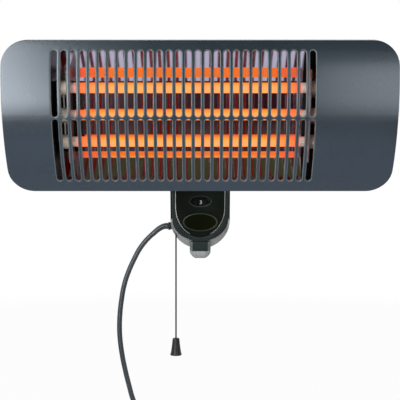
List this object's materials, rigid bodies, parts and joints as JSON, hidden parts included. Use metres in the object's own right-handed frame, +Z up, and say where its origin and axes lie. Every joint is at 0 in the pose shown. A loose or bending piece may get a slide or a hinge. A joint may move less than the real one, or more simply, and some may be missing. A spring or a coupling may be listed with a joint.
{
  "type": "electric bar heater",
  "caption": "Wall-mounted electric bar heater: curved slotted head with quartz tubes, control box with pull-cord switch, tilting bracket, coiled mains cord.",
  "frame": {"origin": "centre of the wall plate's back face, 56 mm above the tilt axis", "axes": "+Z up, +Y into the wall, +X to the right as seen from the front; the heater faces -Y"},
  "size_m": [0.48, 0.1599, 0.6787],
  "materials": {
    "slate_paint": "satin slate-grey powder coat",
    "reflector": "polished",
    "quartz": "milky quartz, glowing when hot",
    "glowing_wire": "glowing orange resistance wire",
    "ceramic": "matt white",
    "white_wire": "white heatproof sleeve",
    "fastener": "zinc plated",
    "grey_shell": "satin grey moulding",
    "black_shell": "satin black moulding",
    "black_fascia": "semi-gloss black",
    "window": "clear smoked window",
    "badge": "bare olive-black oval plate",
    "white_plastic": "natural nylon",
    "black_rubber": "matt black",
    "mains_cord": "dark grey sheath",
    "pull_cord": "thin grey cord",
    "toggle": "satin black",
    "bracket": "grey powder coat"
  },
  "bodies": {
    "wall_bracket": {"wall_plate": "bracket", "bracket_arm": "bracket", "arm_screw_lower": "fastener", "arm_screw_upper": "fastener", "mains_cord": "mains_cord", "cord_coil": "mains_cord", "cord_tie": "black_rubber", "plug": "black_rubber"},
    "heater": {"front_cover": "slate_paint", "rear_housing": "slate_paint", "reflector": "reflector", "tube_holder_left": "reflector", "tube_holder_right": "reflector", "quartz_tube_upper": "quartz", "quartz_tube_middle": "quartz", "quartz_tube_lower": "quartz", "heating_coil_upper": "glowing_wire", "heating_coil_middle": "glowing_wire", "heating_coil_lower": "glowing_wire", "end_cap_upper_left": "ceramic", "end_cap_upper_right": "ceramic", "end_cap_middle_left": "ceramic", "end_cap_middle_right": "ceramic", "end_cap_lower_left": "ceramic", "end_cap_lower_right": "ceramic", "jumper_upper": "white_wire", "jumper_lower": "white_wire", "lead_upper": "white_wire", "lead_middle": "white_wire", "lead_lower": "white_wire", "harness": "black_rubber", "terminal_block": "ceramic", "holder_screw_left_lower": "fastener", "holder_screw_left_upper": "fastener", "holder_screw_right_lower": "fastener", "holder_screw_right_upper": "fastener", "rear_shell": "grey_shell", "front_shell": "black_shell", "fascia_plate": "black_fascia", "window_lens": "window", "badge_plate": "badge", "box_screw_left": "fastener", "box_screw_right": "fastener", "cable_gland": "black_rubber", "cord_clamp": "black_shell", "cord_grommet": "black_rubber", "switch_block": "black_shell", "shaft_bracket": "black_shell", "return_spring": "fastener", "pivot_bolt": "fastener", "pivot_nut": "fastener", "friction_washer_left": "black_rubber", "friction_washer_right": "black_rubber"},
    "selector": {"selector_shaft": "fastener", "indicator_drum": "black_shell", "ratchet_wheel": "fastener"},
    "pulley": {"pull_pulley": "white_plastic"},
    "draw": {"draw_cord": "pull_cord"},
    "pull_line": {"pull_cord": "pull_cord", "cord_toggle": "toggle"}
  },
  "joints": [
    {"name": "tilt", "type": "hinge", "parent": "wall_bracket", "child": "heater", "pos_m": [0, -0.055, -0.056], "axis": [1, 0, 0], "range_deg": [-15.5, 29.5], "deforming": ["mains_cord"]},
    {"name": "selector_turn", "type": "hinge", "parent": "heater", "child": "selector", "pos_m": [0, -0.06897, 0.01121], "axis": [1, 0, 0], "continuous": true},
    {"name": "pull", "type": "slide", "parent": "heater", "child": "draw", "axis": [0, 0, -1], "range_m": [0, 0.0125], "stiffness_N_per_m": 1200, "springref_m": -0.003},
    {"name": "pulley_turn", "type": "hinge", "parent": "heater", "child": "pulley", "pos_m": [0, -0.06897, 0.01121], "axis": [1, 0, 0], "range_deg": [-90, 0]},
    {"name": "cord_hang", "type": "hinge", "parent": "draw", "child": "pull_line", "pos_m": [-0.0322, -0.06097, -0.03918], "axis": [1, 0, 0], "range_deg": [-30, 16]}
  ],
  "couplings": [
    {"joint": "pulley_turn", "follows": "pull", "rad_per_m": -125},
    {"joint": "cord_hang", "follows": "tilt", "ratio": -1}
  ]
}
